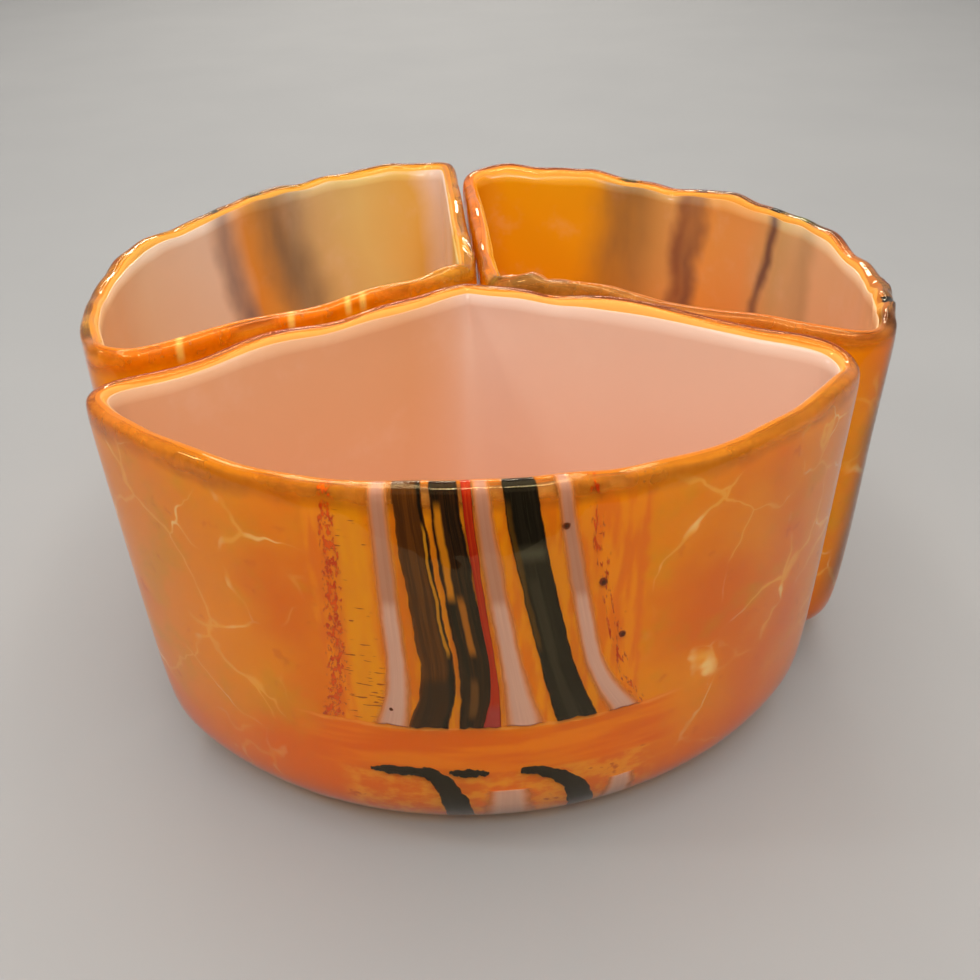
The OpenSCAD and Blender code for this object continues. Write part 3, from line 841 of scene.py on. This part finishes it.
def stroke(start, end, wide):
    """A level stroke of the painted refraction between two angles, thickest in its middle."""
    return [(REFRACTION_TOP, start + (end - start) * i / 6,
             max(0.4, wide * math.sin(math.pi * i / 6) ** 0.5)) for i in range(7)]


def hook(start, end, thin, wide):
    """A hook of the painted refraction: it sets off level and turns down in a quarter arc, growing
    as it goes.
    """
    out = []
    for i in range(7):
        turn = math.pi / 2 * i / 6
        out.append((REFRACTION_LOW + (REFRACTION_TOP - REFRACTION_LOW) * math.cos(turn),
                    start + (end - start) * math.sin(turn), thin + (wide - thin) * i / 6))
    return out


def patch(angle, top, wide):
    """A pale patch of the painted refraction that widens a little on its way down."""
    return [(top + (REFRACTION_LOW - top) * i / 3, angle, wide * (0.75 + 0.25 * i / 3)) for i in range(4)]


DARK_REFRACTIONS = [("hook_stroke", stroke(-16.5, -8, 3.2)), ("hook", hook(-10, -5.5, 3.5, 8)),
              ("lens", stroke(-6.5, -1.5, 2.6)), ("right_hook", hook(2.5, 11, 1.6, 8))]
for i, (part, stations) in enumerate(DARK_REFRACTIONS):
    nodes = ["front_dark_tails"] if i == 0 else []
    ribbon("front_dark_tail_" + part, "front", stations, 0.48, black_cane, "black_glass", nodes,
           0.35, 0.3)
# the pale patches of the painted refraction, between the dark hooks
PALE_REFRACTIONS = [("middle", patch(1, 23, 18)), ("right", patch(16, 21, 12))]
for i, (part, stations) in enumerate(PALE_REFRACTIONS):
    nodes = ["front_white_tails"] if i == 0 else []
    ribbon("front_white_tail_" + part, "front", stations, 0.66, white_cane, "white_glass", nodes,
           0.3, 0.2)

# ---------------------------------------------------------------- camera, floor and lights
scene = bpy.context.scene
scene.view_settings.view_transform = "Standard"

AIM = Vector((0.6, -4.0, 40.6)) * MM
AZIMUTH, ELEVATION, ROLL = math.radians(-3.07), math.radians(32.6), math.radians(-1.65)
DISTANCE = 346 * MM
way = Vector((math.sin(AZIMUTH) * math.cos(ELEVATION),
              -math.cos(AZIMUTH) * math.cos(ELEVATION), math.sin(ELEVATION)))
camera_data = bpy.data.cameras.new("camera")
camera_data.lens = 38.97
camera_data.sensor_width = 36
camera = bpy.data.objects.new("camera", camera_data)
look = way.to_track_quat("Z", "Y").to_matrix().to_4x4()
camera.matrix_world = (
    Matrix.Translation(AIM + way * DISTANCE) @ look @ Matrix.Rotation(ROLL, 4, "Z"))
camera_data.clip_start = 0.01
scene.collection.objects.link(camera)
scene.camera = camera

# Pale walls and ceiling above the table, a dimmer room below its top
world = bpy.data.worlds.new("studio")
world.use_nodes = True
tree = world.node_tree
way_out = tree.nodes.new("ShaderNodeTexCoord")
split = tree.nodes.new("ShaderNodeSeparateXYZ")
level = tree.nodes.new("ShaderNodeMapRange")
level.interpolation_type = "SMOOTHSTEP"
level.inputs["From Min"].default_value = -0.06
level.inputs["From Max"].default_value = 0.02
level.inputs["To Min"].default_value = 0.13
level.inputs["To Max"].default_value = 0.37
tree.links.new(way_out.outputs["Generated"], split.inputs[0])
tree.links.new(split.outputs[2], level.inputs["Value"])
tree.links.new(level.outputs[0], tree.nodes["Background"].inputs[1])
tree.nodes["Background"].inputs[0].default_value = (1, 0.98, 0.96, 1)
scene.world = world


def staged(name, bm, material):
    mesh = bpy.data.meshes.new(name)
    bm.to_mesh(mesh)
    bm.free()
    mesh.materials.append(material)
    piece = bpy.data.objects.new(name, mesh)
    scene.collection.objects.link(piece)


# The table top, with its front edge a short way in front of the set
TABLE_FRONT, TABLE_SIZE = -0.234, 3.0
floor_maker = Maker("pale_table")
grain = floor_maker.noise(floor_maker.place_of(), 9, 3)
floor_maker.link(
    floor_maker.mix(grain, (0.37, 0.37, 0.37, 1), (0.41, 0.41, 0.405, 1)),
    floor_maker.shader.inputs["Base Color"])
floor_maker.shader.inputs["Roughness"].default_value = 0.7
floor_bm = bmesh.new()
bmesh.ops.create_grid(
    floor_bm, x_segments=2, y_segments=2, size=TABLE_SIZE,
    matrix=Matrix.Translation((0, TABLE_FRONT + TABLE_SIZE, 0)))
staged("floor", floor_bm, floor_maker.material)

# A long rectangle of small ceiling lamps
LAMP_Z, LAMP_X, LAMP_FRONT, LAMP_BACK = 1.0, 0.28, -0.8, 1.5
LAMP_LONG, LAMP_WIDE, PITCH_X, PITCH_Y = 0.30, 0.018, 0.03, 0.05


def lamp_material(name, strength):
    m = Maker(name)
    glow = m.add("ShaderNodeEmission", {"Color": (1, 0.95, 0.88, 1), "Strength": strength})
    m.link(glow.outputs[0], m.output.inputs["Surface"])
    return m.material


side_spots, end_spots = [], []
for i in range(round((LAMP_BACK - LAMP_FRONT) / PITCH_Y) + 1):
    y = LAMP_FRONT + i * PITCH_Y
    side_spots += [(x, y, LAMP_LONG / 2, 0.03) for x in (-LAMP_X, LAMP_X)]
for i in range(1, round(2 * LAMP_X / PITCH_X)):
    x = -LAMP_X + i * PITCH_X
    end_spots += [(x, y, LAMP_WIDE, LAMP_LONG) for y in (LAMP_FRONT, LAMP_BACK)]
for name, spots, strength in (("side_lamps", side_spots, 7.5), ("end_lamps", end_spots, 22.0)):
    lamps = bmesh.new()
    for x, y, wide, long in spots:
        bmesh.ops.create_grid(
            lamps, x_segments=1, y_segments=1, size=0.5,
            matrix=Matrix.Translation((x, y, LAMP_Z)) @ Matrix.Diagonal((wide, -long, -1, 1)))
    staged(name, lamps, lamp_material(name + "_glow", strength))


def softbox(name, at, aim, size, power):
    data = bpy.data.lights.new(name, "AREA")
    data.shape = "RECTANGLE"
    data.size, data.size_y = size
    data.energy = power
    lamp = bpy.data.objects.new(name, data)
    lamp.matrix_world = Matrix.Translation(at) @ (
        (Vector(at) - Vector(aim)).to_track_quat("Z", "Y").to_matrix().to_4x4())
    scene.collection.objects.link(lamp)


softbox("top_softbox", (0.0, -0.1, 1.3), (0, 0, 0.05), (1.4, 1.4), 4.5)
softbox("left_softbox", (-0.75, -0.1, 0.7), (0, 0, 0.1), (0.09, 0.16), 0.9)
